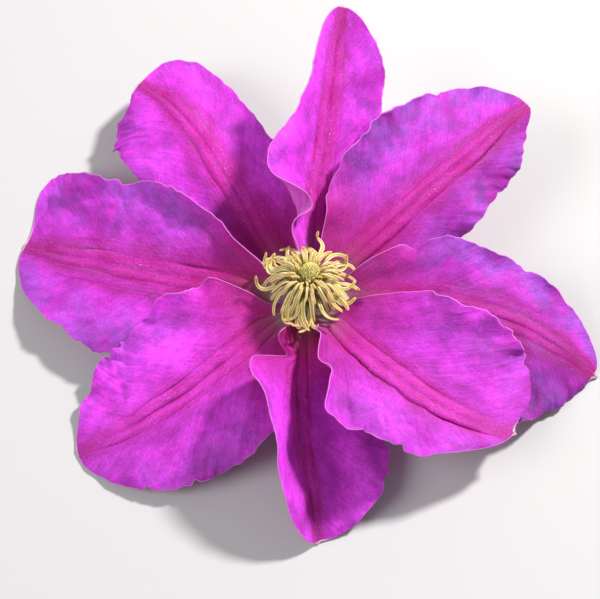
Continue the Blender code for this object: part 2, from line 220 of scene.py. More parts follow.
# ---------------------------------------------------------------- stamens, styles and stalk
RECEPTACLE_RADIUS = 4.2
RECEPTACLE_TOP = 6.5
CLEARANCE = 0.3
STAMEN_START = 3.0
STAMEN_COUNT = 48          # those that stand for a CAD node
FILLING_STAMENS = 84       # those between them, which have no node of their own
# Stamens from the outermost ring to the innermost, read between the numbers for those in between.
# Each filament climbs and bends over, and its anther falls outwards. The outer tips curl back.
STAMEN_CLIMB = (66, 77, 84, 88, 89)
ANTHER_CLIMB = (-20, -54, -60, -36, 40)
STAMEN_BEND = (0.42, 0.52, 0.60, 0.72, 0.86)      # where it bends, as a share of its length
STAMEN_LENGTH = (17.5, 16.4, 16.0, 14.4, 10.8)
HOOKED_SHARE = 0.36       # of the stamens, counted from the outermost, have curled tips

STRAP_WIDTH = (1.10, 1.15, 1.05, 0.85, 0.60)      # of the flattened anthers, outermost first
FILAMENT_WIDE, FILAMENT_HIGH = 0.22, 0.18         # half its width and half its height
ANTHER_SWELL = 0.18        # how much half the height grows from filament to anther
ANTHER_GROOVE = 0.55       # how far the middle is sunk, as a share of that height
STAMEN_STEPS, STAMEN_SIDES = 24, 12
INNER_LEAN = 8             # of the innermost filling stamens, against the styles

STYLE_COUNT = 230
STYLE_FOOT_RADIUS = 1.5
STYLE_TIP_RADIUS = 2.60
STYLE_TOP = 18.8           # above the centre plane
STYLE_STEPS, STYLE_SIDES = 6, 5

STALK_RADIUS = 1.2
STALK_REACH = 46.0
STALK_AZIMUTH = 100.0
STALK_SIDES, STALK_RIBS = 36, 7
ARC_STEPS, FLAT_STEPS = 21, 43         # of the stalk's bend and of its straight run
DOME_SIDES, DOME_RIBS = 72, 16
STRAND_JOIN = 0.002        # as BLADE_JOIN, for strands and the receptacle


# ================================================================ shared helpers
def along(stations, share):
    """Smooth curve through equally spaced stations, read at shares from 0 to 1."""
    values = np.asarray(stations, float)
    steps = len(values) - 1
    place = np.clip(share, 0, 1) * steps
    index = np.minimum(place.astype(int), steps - 1)
    t = place - index
    padded = np.concatenate([[2 * values[0] - values[1]], values, [2 * values[-1] - values[-2]]])
    a, b, c, d = (padded[index + k] for k in range(4))
    return 0.5 * (2 * b + (c - a) * t + (2 * a - 5 * b + 4 * c - d) * t**2
                  + (3 * b - a - 3 * c + d) * t**3)


def directions(pitch, heading):
    """Unit vectors that climb at pitch and point towards heading, both in radians."""
    level = np.cos(pitch)
    return np.stack([level * np.cos(heading), level * np.sin(heading), np.sin(pitch)], -1)


def smooth_step(value, low, high):
    """0 below low, 1 above high, and an even curve between."""
    t = np.clip((value - low) / (high - low), 0, 1)
    return t * t * (3 - 2 * t)


def waviness(first, second, seed):
    """Soft noise from -1 to 1 at each point of a grid, which repeats about once a unit."""
    pairs = zip(np.ravel(first), np.ravel(second))
    depth = 0.5 + 7.3 * seed
    values = [noise.noise(Vector((one, other, depth))) for one, other in pairs]
    return np.reshape(values, np.shape(first))


def added(name, data):
    """A new object in the scene."""
    made = bpy.data.objects.new(name, data)
    bpy.context.scene.collection.objects.link(made)
    return made


def finish_piece(name, builder, materials, replaced=()):
    """Place a bmesh given in millimetres from the flower's centre, and tie it to the frame."""
    builder.transform(Matrix.Translation(CENTRE) @ Matrix.Scale(MM, 4))
    mesh = bpy.data.meshes.new(name)
    builder.to_mesh(mesh)
    builder.free()
    for material in materials:
        mesh.materials.append(material)
    mesh.shade_smooth()
    piece = added(name, mesh)
    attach(piece, "root")
    if replaced:
        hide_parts(*replaced)
    return piece


def finish_closed(name, builder, materials, replaced=()):
    """The same for a closed shape, with its faces turned outwards first."""
    bmesh.ops.recalc_face_normals(builder, faces=builder.faces)
    finish_piece(name, builder, materials, replaced)


# ================================================================ tepal shapes
def tepal_frame(spec, droop, rows, half, turns=()):
    """A tepal's middle surface from its root to its tip, and each point's reach from the midrib."""
    share = 1 - (1 - np.linspace(0, 1, rows + 1)) ** TIP_CROWDING
    azimuth = radians(spec["azimuth"])

    def pitch_and_heading(at):
        pitch = np.radians(along(spec["pitch"], at) - droop * at**2)
        return pitch, azimuth + np.radians(along(spec["bend"], at))

    lengths = spec["length"] * (share[1:] - share[:-1])
    steps = directions(*pitch_and_heading((share[1:] + share[:-1]) / 2)) * lengths[:, None]
    root = np.array([ROOT_RADIUS * cos(azimuth), ROOT_RADIUS * sin(azimuth), spec["level"]])
    midrib = root + np.concatenate([np.zeros((1, 3)), np.cumsum(steps, 0)])
    pitch, heading = pitch_and_heading(share)
    forward = directions(pitch, heading)
    sideways = np.stack([-np.sin(heading), np.cos(heading), np.zeros_like(heading)], -1)
    upward = np.cross(forward, sideways)

    rounding = np.sqrt(np.clip(1 - share ** spec["tip"], 0, 1))
    rises = [along(spec["rise"][side], share) for side in (0, 1)]
    roll, fold = (rises[0] - rises[1]) / 2, (rises[0] + rises[1]) / 2
    across = np.linspace(0, 1, half + 1)
    between = (across[1:] + across[:-1]) / 2
    crease = spec.get("crease", 0.15)
    surface = np.zeros((rows + 1, 2 * half + 1, 3))
    reach = np.zeros((rows + 1, 2 * half + 1))
    for side, sign in ((0, 1), (1, -1)):
        width = along(spec["width"][side], share) * rounding
        curl = along(spec["curl"][side], share)
        height, count, start = spec["ruffle"][side]
        wave = height * np.sin(2 * pi * (count * share + start)) * np.sqrt(np.sin(pi * share))
        tilt = (sign * roll[:, None] + fold[:, None] * np.tanh(between / crease)
                + curl[:, None] * between**2 + wave[:, None] * between**3)
        for turned, middle, span, line, angle in turns:
            if turned == side:
                near = np.exp(-((share - middle) / span) ** 2)
                tilt += angle * near[:, None] * smooth_step(between, line - 0.15, line + 0.15)
        tilt = np.radians(tilt)
        step = width[:, None] / half
        start_column = np.zeros((rows + 1, 1))
        out = np.concatenate([start_column, np.cumsum(np.cos(tilt) * step, 1)], 1)
        lift = np.concatenate([start_column, np.cumsum(np.sin(tilt) * step, 1)], 1)
        points = midrib[:, None] + sign * sideways[:, None] * out[..., None]
        points = points + upward[:, None] * lift[..., None]
        sweep = spec.get("sweep", (0, 0))[side] * (share * rounding)[:, None]**2 * across**2
        points = points + forward[:, None] * sweep[..., None]
        signed = sign * width[:, None] * across
        if side == 0:
            surface[:, half:], reach[:, half:] = points, signed
        else:
            surface[:, half::-1], reach[:, half::-1] = points, signed
    return surface, reach, share


def settled_droop(name):
    """How much further a resting tepal droops before its lowest point meets the surface."""
    if name not in RESTING:
        return 0.0
    rest_height = TEPAL_THICKNESS / 2 - CENTRE.z / MM
    least, most = -30.0, 30.0
    for _ in range(24):
        droop = (least + most) / 2
        surface = tepal_frame(TEPALS[name], droop, COARSE_ROWS, COARSE_HALF)[0]
        if surface[..., 2].min() > rest_height:
            least = droop
        else:
            most = droop
    return least


def surface_tree(surface):
    """The surface as a tree in which rays can be cast."""
    rows, columns = surface.shape[:2]
    corners = [row * columns + column for row in range(rows - 1) for column in range(columns - 1)]
    faces = [(corner, corner + 1, corner + columns + 1, corner + columns) for corner in corners]
    return BVHTree.FromPolygons([Vector(point) for point in surface.reshape(-1, 3)], faces)


def height_below(tree, x, y):
    """Height of a tree's surface at a place seen from above, or none beside it."""
    hit = tree.ray_cast(Vector((x, y, OVERHEAD)), Vector((0, 0, -1)))[0]
    return None if hit is None else hit.z


def blurred(field):
    """Each point's mean over its four neighbours."""
    padded = np.pad(field, 1, mode="edge")
    return (padded[:-2, 1:-1] + padded[2:, 1:-1] + padded[1:-1, :-2] + padded[1:-1, 2:]) / 4


def lift_needed(surface, lower_trees):
    """How far each point is raised to stay a layer's step above the tepals below it."""
    need = np.zeros(surface.shape[:2])
    for row, column in np.ndindex(need.shape):
        x, y, z = surface[row, column]
        for tree in lower_trees:
            for aside, ahead in PROBES:
                below = height_below(tree, x + aside, y + ahead)
                if below is not None:
                    need[row, column] = max(need[row, column], below + LAYER_STEP - z)
    lift = need.copy()
    for _ in range(COARSE_PASSES):
        lift = np.maximum(need, (lift + blurred(lift)) / 2)
    return lift


def layered_tepals():
    """Each tepal's settling droop and the lifts, on the coarse mesh, that keep it over the others."""
    layers, trees = {}, []
    for name in STACK:
        droop = settled_droop(name)
        surface = tepal_frame(TEPALS[name], droop, COARSE_ROWS, COARSE_HALF)[0]
        lift = lift_needed(surface, trees)
        layers[name] = (droop, lift)
        surface[..., 2] += lift
        trees.append(surface_tree(surface))
    return layers


def refined(coarse, rows, columns):
    """A coarse field read smoothly on a finer mesh."""
    tall = np.array([along(line, np.linspace(0, 1, rows)) for line in coarse.T])
    return np.array([along(line, np.linspace(0, 1, columns)) for line in tall.T])


def vein_line(reach, run):
    """Which vein a point is on: they run beside the midrib, then part and bend to the margins."""
    return run - VEIN_BEND * np.sqrt(np.abs(reach) + VEIN_START)


def rib_relief(reach, run, share, seed, depths):
    """Three grooved veins with two soft ridges between them, along the middle of a tepal."""
    spacing = 0.7 + 2.6 * np.sin(pi * np.clip(share * 0.88 + 0.08, 0, 1)) ** 0.7
    wander = 1.0 * waviness(run / 16, np.zeros_like(run), seed)
    place = (reach + wander[:, None] * (share[:, None] > 0)) / spacing[:, None]
    strength = smooth_step(share, 0.02, 0.16) * smooth_step(1 - share, 0.02, 0.22)

    def swell(offset, width):
        return np.exp(-((place - offset) / width) ** 2)

    relief = 0.16 * (swell(0.5, 0.36) + swell(-0.5, 0.36))
    for number, (offset, depth) in enumerate(zip((-1.05, 0.0, 1.05), depths)):
        fading = 1 + 1.1 * waviness(run / 11, np.full_like(run, number), seed + 20)
        relief = relief - 0.1 * depth * fading[:, None] * swell(offset, 0.14)
    return strength[:, None] * relief


def outwardness(reach):
    """0 on the midrib and 1 at the wider half's margin."""
    return np.abs(reach) / np.maximum(np.abs(reach).max(1, keepdims=True), 0.5)


def blade_relief(reach, run, share, seed):
    """Slow swellings of the blade, with pleats that bend outwards to finely crinkled margins."""
    outward = outwardness(reach)
    run = np.broadcast_to(run[:, None], reach.shape)
    fan = vein_line(reach, run)
    height = 1.90 * waviness(run / 15, reach / 10, seed) * smooth_step(outward, 0.1, 0.6)
    height += 1.10 * waviness(fan / 7.5, reach / 12, seed + 40) * outward**1.8
    height += 0.42 * waviness(fan / 3.0, reach / 7, seed + 80) * outward**3
    height += 0.12 * waviness(fan / 1.3, reach / 5, seed + 100) * smooth_step(outward, 0.1, 0.5)
    height += 0.90 * waviness(run / 4.5, reach / 30, seed + 120) * outward**8
    ends = smooth_step(share, 0.03, 0.20) * smooth_step(1 - share, 0.0, 0.06)
    return height * ends[:, None]


def crinkled(name, reach, run, share, seed):
    """The short pleats across the most crinkled part of a half."""
    if name not in CRINKLES:
        return np.zeros_like(reach)
    side, middle, span, height = CRINKLES[name]
    fan = vein_line(reach, np.broadcast_to(run[:, None], reach.shape))
    place = np.exp(-((share - middle) / span) ** 2)[:, None]
    place = place * smooth_step(outwardness(reach), 0.25, 0.8)
    pleats = waviness(fan / 3.2, reach / 9, seed + 160)
    pleats = pleats + 0.4 * waviness(fan / 1.4, reach / 6, seed + 180)
    return height * pleats * place * (np.sign(reach) == (1 if side == 0 else -1))


def notched(reach, run, share, seed, nicks):
    """How far each half widens or narrows along the tepal, for scalloped and nicked margins."""
    factor = np.ones_like(reach)
    for side, sign in ((0, 1), (1, -1)):
        level = np.full_like(run, 3.0 * side)
        scallops = 0.040 * waviness(run / 9.0, level, seed)
        scallops += 0.032 * waviness(run / 3.6, level, seed)
        scallops += 0.020 * waviness(run / 1.5, level, seed)
        scallops *= smooth_step(share, 0.1, 0.3)
        for nicked, middle, span, depth in nicks:
            if nicked == side:
                scallops -= depth * np.exp(-((share - middle) / span) ** 2)
        factor = np.where(np.sign(reach) == sign, 1 + scallops[:, None], factor)
    return factor


def pointed(name, surface, reach, share):
    """Draw out the small point at the end of the midrib, and the lobe beside it."""
    tip = surface[-1, FINE_HALF] - surface[-12, FINE_HALF]
    tip /= np.linalg.norm(tip)
    height = POINTS[name] * smooth_step(share, 0.990, 1)[:, None] * np.exp(-(reach / 0.35) ** 2)
    if name in LOBES:
        middle, span, length = LOBES[name]
        across = np.exp(-((reach - middle) / span) ** 2)
        height = height + length * smooth_step(share, 0.70, 0.98)[:, None] * across
    return surface + height[..., None] * tip


def surface_normals(surface):
    """Unit normals of the face side, the last rows' taken from before the tip closes."""
    run = np.gradient(surface, axis=0)
    side = np.gradient(surface, axis=1)
    normal = np.cross(side, run)
    size = np.linalg.norm(normal, axis=2, keepdims=True)
    normal = normal / np.maximum(size, 1e-9)
    normal[-3:] = normal[-4]
    return -normal


def held_clear(surface, lower_trees):
    """Raise the fine mesh where it would touch the surface it rests on or the tepals below it."""
    need = np.zeros(surface.shape[:2])
    for row, column in np.ndindex(need.shape):
        x, y, z = surface[row, column]
        for tree in lower_trees:
            below = height_below(tree, x, y)
            if below is not None:
                need[row, column] = max(need[row, column], below + FINE_GAP - z)
    lift = need.copy()
    for _ in range(FINE_PASSES):
        lift = np.maximum(need, blurred(lift))
    raised = surface.copy()
    raised[..., 2] = np.maximum(raised[..., 2] + lift, MIDRIB_WALL - CENTRE.z / MM)
    return raised


def build_tepal(name, layer, materials, seed, lower_trees):
    """One tepal: its fine surface, what each point needs for its finish, and its thinning wall."""
    droop, lift = layer
    spec = TEPALS[name]
    surface, reach, share = tepal_frame(spec, droop, FINE_ROWS, FINE_HALF, TURNS[name])
    run = share * spec["length"]
    middle = surface[:, FINE_HALF:FINE_HALF + 1]
    widening = notched(reach, run, share, seed, NICKS[name])
    surface = middle + (surface - middle) * widening[..., None]
    surface[..., 2] += refined(lift, FINE_ROWS + 1, 2 * FINE_HALF + 1)
    ribs = rib_relief(reach, run, share, seed, GROOVES[name])
    relief = ribs + blade_relief(reach, run, share, seed) + crinkled(name, reach, run, share, seed)
    surface = surface + surface_normals(surface) * relief[..., None]
    surface = held_clear(pointed(name, surface, reach, share), lower_trees)
    lower_trees.append(surface_tree(surface))
    half_width = np.where(reach >= 0, reach.max(1, keepdims=True), -reach.min(1, keepdims=True))
    margin = np.minimum(half_width - np.abs(reach), (1 - share[:, None]) * spec["length"])
    fraction = reach / np.maximum(half_width, 0.1)
    wall = MARGIN_WALL + (MIDRIB_WALL - MARGIN_WALL) * np.exp(-(reach / 7) ** 2)

    builder = bmesh.new()
    bmesh.ops.create_grid(builder, x_segments=2 * FINE_HALF, y_segments=FINE_ROWS, size=1.0)
    blade = builder.verts.layers.float_vector.new("blade")
    place = builder.verts.layers.float_vector.new("place")
    thickness = builder.verts.layers.deform.verify()
    for vertex in builder.verts:
        column = round((vertex.co.x + 1) * FINE_HALF)
        row = round((vertex.co.y + 1) * FINE_ROWS / 2)
        vertex.co = surface[row, column]
        vertex[blade] = (reach[row, column], run[row], margin[row, column])
        vertex[place] = (share[row], fraction[row, column], ribs[row, column])
        vertex[thickness][0] = wall[row, column] / MIDRIB_WALL
    bmesh.ops.remove_doubles(builder, verts=builder.verts, dist=BLADE_JOIN)
    bmesh.ops.recalc_face_normals(builder, faces=builder.faces)
    if sum(face.normal.z * face.calc_area() for face in builder.faces) < 0:
        bmesh.ops.reverse_faces(builder, faces=builder.faces)
    piece = finish_piece(name + "_blade", builder, materials, (name,))
    piece.vertex_groups.new(name="thickness")
    solid = piece.modifiers.new("Wall", "SOLIDIFY")
    solid.thickness = MIDRIB_WALL * MM
    solid.offset = 0.0
    solid.vertex_group = "thickness"
    solid.material_offset = 1
    solid.material_offset_rim = 0


# ================================================================ strands
def add_strand(builder, path, sideways, half_widths, half_heights, around, groove=None, marks=None):
    """A closed flattened strand along a path: a grid rolled into a tube and pinched shut.

    sideways gives the direction of its width at each point of the path. groove sinks the middle
    of both its faces. The "strand" layer holds a mark, how near its edge a point is, and the run
    from 0 to 1, which goes on past both on the end faces.
    """
    steps = len(path) - 1
    ahead = np.gradient(np.asarray(path), axis=0)
    ahead /= np.linalg.norm(ahead, axis=1, keepdims=True)
    side = sideways - ahead * (sideways * ahead).sum(1, keepdims=True)
    side /= np.linalg.norm(side, axis=1, keepdims=True)
    up = np.cross(side, ahead)
    grooves = np.zeros(steps + 1) if groove is None else groove
    marks = np.zeros(steps + 1) if marks is None else marks
    layer = builder.verts.layers.float_vector["strand"]
    rings = steps + 2
    grid = bmesh.ops.create_grid(builder, x_segments=around, y_segments=rings, size=1.0)
    for vertex in grid["verts"]:
        ring = round((vertex.co.y + 1) * rings / 2)
        angle = pi * vertex.co.x
        index = min(max(ring - 1, 0), steps)
        size = 0.0 if ring in (0, rings) else 1.0
        flat = cos(angle)
        tall = sin(angle) * (1 - grooves[index] * (1 - 1.25 * flat**2))
        offset = side[index] * flat * half_widths[index] + up[index] * tall * half_heights[index]
        vertex.co = path[index] + offset * size
        run = index / steps + (0.2 if ring == rings else 0) - (0.2 if ring == 0 else 0)
        vertex[layer] = (marks[index], abs(flat), run)
    bmesh.ops.remove_doubles(builder, verts=grid["verts"], dist=STRAND_JOIN)


def strand_builder():
    """An empty bmesh with the layer that strands fill in."""
    builder = bmesh.new()
    builder.verts.layers.float_vector.new("strand")
    return builder


# ================================================================ stamens
def receptacle_radius(height):
    """Radius of the receptacle's dome at a height above the centre plane."""
    return RECEPTACLE_RADIUS * (1 - (max(height, 0.0) / (RECEPTACLE_TOP * 1.25)) ** 2) ** 0.5


def stamen_path(index, steps, lean):
    """Route of one stamen from the receptacle's dome, and the heading of each of its points."""
    inward = index / (STAMEN_COUNT - 1)     # 0 for the outermost, 1 beside the styles
    turn = index * GOLDEN_ANGLE
    height = STAMEN_START + (RECEPTACLE_TOP - 0.2 - STAMEN_START) * inward
    start_radius = receptacle_radius(height) + CLEARANCE + 0.1
    hooked = max(0.0, 1 - inward / HOOKED_SHARE) ** 0.5
    climb = along(STAMEN_CLIMB, inward) + lean
    fall = along(ANTHER_CLIMB, inward) + 7 * sin(5.1 * index) - climb
    bend = along(STAMEN_BEND, inward)
    hook = (100 + 25 * sin(3.7 * index)) * hooked
    side = 1 if sin(1.3 * index) > 0 else -1
    swing = side * (120 + 40 * sin(2.3 * index)) * hooked + 11 * sin(1.9 * index)
    length = along(STAMEN_LENGTH, inward) + 1.4 * sin(2.2 * index) * hooked
    share = np.linspace(0, 1, steps + 1)
    middle = (share[1:] + share[:-1]) / 2
    pitch = climb + fall * smooth_step(middle, bend - 0.18, bend + 0.15)
    pitch = np.radians(pitch + hook * smooth_step(middle, 0.60, 0.96))
    heading = turn + np.radians(swing * smooth_step(middle, 0.56, 1.0))
    path = np.concatenate([np.zeros((1, 3)), np.cumsum(directions(pitch, heading), 0)])
    start = [start_radius * cos(turn), start_radius * sin(turn), height]
    headings = turn + np.radians(swing * smooth_step(share, 0.56, 1.0))
    return np.array(start) + path * length / steps, headings


def build_stamen(name, index, materials, replaced=(), lean=0.0):
    """A thin filament that widens into a strap of two pollen sacs beside a sunken middle."""
    path, heading = stamen_path(index, STAMEN_STEPS, lean)
    share = np.linspace(0, 1, STAMEN_STEPS + 1)
    inward = index / (STAMEN_COUNT - 1)
    twist = np.radians(40 * sin(4.3 * index)) * share
    level = np.stack([-np.sin(heading), np.cos(heading), np.zeros_like(heading)], -1)
    sideways = level * np.cos(twist)[:, None] + np.array([0, 0, 1]) * np.sin(twist)[:, None]
    anther = smooth_step(share, 0.38, 0.54)
    close = np.sqrt(np.clip((1 - share) / 0.05, 0.22, 1))
    strap = along(STRAP_WIDTH, inward) / 2 + 0.05 * sin(2.9 * index)
    strap = strap * (1 - 0.20 * smooth_step(share, 0.62, 1.0))
    half_widths = (FILAMENT_WIDE + (strap - FILAMENT_WIDE) * anther) * close
    half_heights = (FILAMENT_HIGH + ANTHER_SWELL * anther) * close
    builder = strand_builder()
    add_strand(builder, path, sideways, half_widths, half_heights, STAMEN_SIDES,
               ANTHER_GROOVE * anther, anther)
    finish_closed(name, builder, materials, replaced)


def build_stamens(materials):
    """The stamens that stand for CAD nodes, and those that fill the boss between them."""
    for number in range(STAMEN_COUNT):
        node = "stamen_%02d" % (number + 1)
        build_stamen(node + "_strand", number, materials, (node,))
    for number in range(FILLING_STAMENS):
        inward = (number / (FILLING_STAMENS - 1)) ** 0.8
        index = 0.5 + (STAMEN_COUNT - 1.5) * inward
        lean = INNER_LEAN * smooth_step(inward, 0.75, 1.0)
        build_stamen("filling_stamen_%02d" % (number + 1), index, materials, lean=lean)


# ================================================================ styles, receptacle and stalk
def build_styles(materials):
    """A tuft of fine upright styles whose tips part over a low dome."""
    builder = strand_builder()
    share = np.linspace(0, 1, STYLE_STEPS + 1) ** 0.8
    for number in range(STYLE_COUNT):
        spread = ((number + 0.5) / STYLE_COUNT) ** 0.5
        turn = number * GOLDEN_ANGLE
        top = STYLE_TOP - 2.2 * spread**2 + 0.12 * sin(2.7 * number)
        splay = STYLE_FOOT_RADIUS + (STYLE_TIP_RADIUS - STYLE_FOOT_RADIUS) * share**2
        splay = splay * spread
        lean = turn + 0.5 * sin(1.7 * number) * share**2
        height = RECEPTACLE_TOP - 0.4 + (top - RECEPTACLE_TOP + 0.4) * share
        path = np.stack([splay * np.cos(lean) + 0.9 * share**2, splay * np.sin(lean), height], -1)
        sideways = np.tile([-sin(turn), cos(turn), 0.0], (STYLE_STEPS + 1, 1))
        size = (0.13 + 0.12 * share) * np.sqrt(np.clip((1 - share) / 0.12, 0.2, 1))
        add_strand(builder, path, sideways, size, size * 0.9, STYLE_SIDES)
    finish_closed("styles_tuft", builder, materials, ("styles",))


def build_receptacle(materials):
    """The dome that bears everything, turned about its axis from its outline."""
    bottom = -RECEPTACLE_DEPTH
    outline = [(0, bottom), (STALK_RADIUS + 0.1, bottom), (2.2, bottom + 0.25), (3.1, bottom + 0.8),
               (3.8, bottom + 1.8)]
    outline += [(receptacle_radius(height), height) for height in np.linspace(0, RECEPTACLE_TOP, 14)]
    outline += [(0, RECEPTACLE_TOP)]
    builder = bmesh.new()
    corners = [builder.verts.new((radius, 0, height)) for radius, height in outline]
    rims = [builder.edges.new(pair) for pair in zip(corners, corners[1:])]
    bmesh.ops.spin(builder, geom=corners + rims, cent=(0, 0, 0), axis=(0, 0, 1), angle=2 * pi,
                   steps=DOME_SIDES, use_merge=True, use_duplicate=False)
    bmesh.ops.remove_doubles(builder, verts=builder.verts, dist=STRAND_JOIN)
    for vertex in builder.verts:
        radius = vertex.co.xy.length
        if radius > 1.5:
            turn = np.arctan2(vertex.co.y, vertex.co.x)
            rib = 0.10 * cos(DOME_RIBS * turn) * smooth_step(radius, 1.5, 3.0)
            vertex.co.xy *= 1 + rib / radius
    finish_closed("receptacle_dome", builder, materials, ("receptacle",))


def build_stalk(materials):
    """A ribbed stalk that leaves the receptacle downwards and lies back to its cut end."""
    top = -RECEPTACLE_DEPTH - 0.05
    bottom = -CENTRE.z / MM + STALK_RADIUS
    azimuth = radians(STALK_AZIMUTH)
    turn_radius = top - bottom
    arc = np.radians(np.linspace(0, 90, ARC_STEPS + 1))
    reach = np.concatenate([turn_radius * (1 - np.cos(arc)),
                            np.linspace(turn_radius, STALK_REACH, FLAT_STEPS + 1)[1:]])
    height = np.concatenate([top - turn_radius * np.sin(arc), np.full(FLAT_STEPS, bottom)])
    path = np.stack([reach * cos(azimuth), reach * sin(azimuth), height], -1)
    sideways = np.tile([-sin(azimuth), cos(azimuth), 0.0], (len(path), 1))
    run = np.linspace(0, 1, len(path))
    size = STALK_RADIUS * (0.97 - 0.02 * waviness(run * 6, run * 0, 5))
    builder = strand_builder()
    add_strand(builder, path, sideways, size, size, STALK_SIDES)
    layer = builder.verts.layers.float_vector["strand"]
    for vertex in builder.verts:
        station = min(max(round(vertex[layer][2] * (len(path) - 1)), 0), len(path) - 1)
        middle = Vector(path[station])
        out = vertex.co - middle
        if out.length > 0.1:
            upward = out.z if station > ARC_STEPS else out.y
            turn = np.arctan2(out.dot(Vector(sideways[station])), upward)
            vertex.co = middle + out * (1 + 0.035 * cos(STALK_RIBS * turn))
    finish_closed("stalk_strand", builder, materials, ("stalk",))


# ================================================================ materials
class Shading:
    """A node material put together by short calls."""

    def __init__(self, name):
        self.material = bpy.data.materials.new(name)
        self.material.use_nodes = True
        self.tree = self.material.node_tree
        self.shader = self.tree.nodes["Principled BSDF"]
        self.output = self.tree.nodes["Material Output"]

    def node(self, kind, **settings):
        made = self.tree.nodes.new(kind)
        for key, value in settings.items():
            setattr(made, key, value)
        return made

    def link(self, source, target):
        self.tree.links.new(source, target)

    def put(self, target, value):
        """Set a socket to a plain value, or link it to another socket."""
        if isinstance(value, bpy.types.NodeSocket):
            self.link(value, target)
        else:
            target.default_value = value

    def attribute(self, name):
        """An attribute's vector, then its three numbers."""
        made = self.node("ShaderNodeAttribute", attribute_name=name)
        parts = self.node("ShaderNodeSeparateXYZ")
        self.link(made.outputs["Vector"], parts.inputs[0])
        return made.outputs["Vector"], parts.outputs[0], parts.outputs[1], parts.outputs[2]

    def combined(self, x, y, z=0.0):
        made = self.node("ShaderNodeCombineXYZ")
        for socket, given in zip(made.inputs, (x, y, z)):
            self.put(socket, given)
        return made.outputs[0]

    def math(self, operation, first, second=0.0, clamp=False):
        made = self.node("ShaderNodeMath", operation=operation, use_clamp=clamp)
        self.put(made.inputs[0], first)
        self.put(made.inputs[1], second)
        return made.outputs[0]

    def times(self, first, *others):
        for other in others:
            first = self.math("MULTIPLY", first, other)
        return first

    def ramp(self, value, low, high, start=0.0, end=1.0):
        """Smoothly from start to end as value goes from low to high."""
        made = self.node("ShaderNodeMapRange", interpolation_type="SMOOTHSTEP")
        for socket, given in zip(made.inputs[:5], (value, low, high, start, end)):
            self.put(socket, given)
        return made.outputs[0]

    def fade(self, value, low, high, start=1.0):
        """Smoothly from start to nothing as value goes from low to high."""
        return self.ramp(value, low, high, start, 0.0)

    def size(self, value):
        return self.math("ABSOLUTE", value)

    def mix(self, share, first, second, blend="MIX"):
        made = self.node("ShaderNodeMix", data_type="RGBA", blend_type=blend)
        self.put(made.inputs[0], share)
        self.put(made.inputs[6], first)
        self.put(made.inputs[7], second)
        return made.outputs[2]

    def shade(self, colour, factor):
        """The colour made lighter or darker by a factor."""
        return self.mix(1.0, colour, factor, "MULTIPLY")

    def scaled(self, vector, x, y, z=0.0):
        made = self.node("ShaderNodeMapping")
        self.link(vector, made.inputs["Vector"])
        made.inputs["Scale"].default_value = (x, y, z)
        return made.outputs[0]

    def noise(self, vector, scale=1.0, detail=3.0, roughness=0.55):
        made = self.node("ShaderNodeTexNoise")
        self.link(vector, made.inputs["Vector"])
        made.inputs["Scale"].default_value = scale
        made.inputs["Detail"].default_value = detail
        made.inputs["Roughness"].default_value = roughness
        return made.outputs["Fac"]

    def line(self, vector, detail, roughness):
        """How far each point is from the nearest of many thin wandering lines."""
        return self.size(self.math("SUBTRACT", self.noise(vector, 1.0, detail, roughness), 0.5))

    def bumps(self, *layers):
        """The normal over layers of relief, each a height, its strength and its distance."""
        normal = None
        for height, strength, distance in layers:
            made = self.node("ShaderNodeBump")
            self.put(made.inputs["Height"], height)
            made.inputs["Strength"].default_value = strength
            made.inputs["Distance"].default_value = distance
            if normal is not None:
                self.link(normal, made.inputs["Normal"])
            normal = made.outputs[0]
        return normal

    def object_coordinates(self):
        return self.node("ShaderNodeTexCoord").outputs["Object"]

    def principled(self, colour, roughness, normal=None, **others):
        self.put(self.shader.inputs["Base Color"], colour)
        self.put(self.shader.inputs["Roughness"], roughness)
        if normal is not None:
            self.link(normal, self.shader.inputs["Normal"])
        for key, value in others.items():
            self.put(self.shader.inputs[key.replace("_", " ")], value)
        return self.material

    def glow_through(self, colour, share):
        """Let part of the light through the wall, tinted by colour."""
        thin = self.node("ShaderNodeBsdfTranslucent")
        self.put(thin.inputs["Color"], colour)
        both = self.node("ShaderNodeMixShader")
        both.inputs[0].default_value = share
        self.link(self.shader.outputs[0], both.inputs[1])
        self.link(thin.outputs[0], both.inputs[2])
        self.link(both.outputs[0], self.output.inputs["Surface"])


MAGENTA = (0.63, 0.048, 0.67, 1)
VIOLET = (0.42, 0.090, 0.66, 1)
PINK = (0.74, 0.060, 0.71, 1)
HOT_PINK = (0.68, 0.034, 0.45, 1)
CRIMSON = (0.42, 0.004, 0.13, 1)
# The next two are painted shade for the grooves and a painted highlight for the ridges
GROOVE_SHADE = (0.22, 0.004, 0.09, 1)
RIDGE_HIGHLIGHT = (0.88, 0.065, 0.60, 1)
DUSK = (0.42, 0.12, 0.30, 1)
BROWNISH = (0.30, 0.03, 0.12, 1)
PALE_CLAW = (0.50, 0.44, 0.40, 1)
RIM = (0.82, 0.30, 0.80, 1)
FLECK = (0.90, 0.48, 0.84, 1)
DRY_POINT = (0.86, 0.66, 0.66, 1)
BACKLIT = (0.95, 0.01, 0.50, 1)
SHEEN = (1.0, 0.40, 0.95, 1)
UNDER_PINK, UNDER_PALE = (0.62, 0.07, 0.56, 1), (0.76, 0.14, 0.70, 1)
UNDER_VEIN, UNDER_BAR = (0.52, 0.28, 0.42, 1), (0.50, 0.30, 0.34, 1)
UNDER_RIB, UNDER_CLAW = (0.50, 0.50, 0.28, 1), (0.36, 0.44, 0.22, 1)
FILAMENT_FOOT, FILAMENT = (0.50, 0.54, 0.34, 1), (0.60, 0.62, 0.26, 1)
POLLEN, PALE_POLLEN = (1.00, 0.86, 0.42, 1), (1.00, 0.93, 0.62, 1)
ANTHER_TIP, ANTHER_MIDDLE = (1.00, 0.66, 0.38, 1), (0.50, 0.46, 0.04, 1)
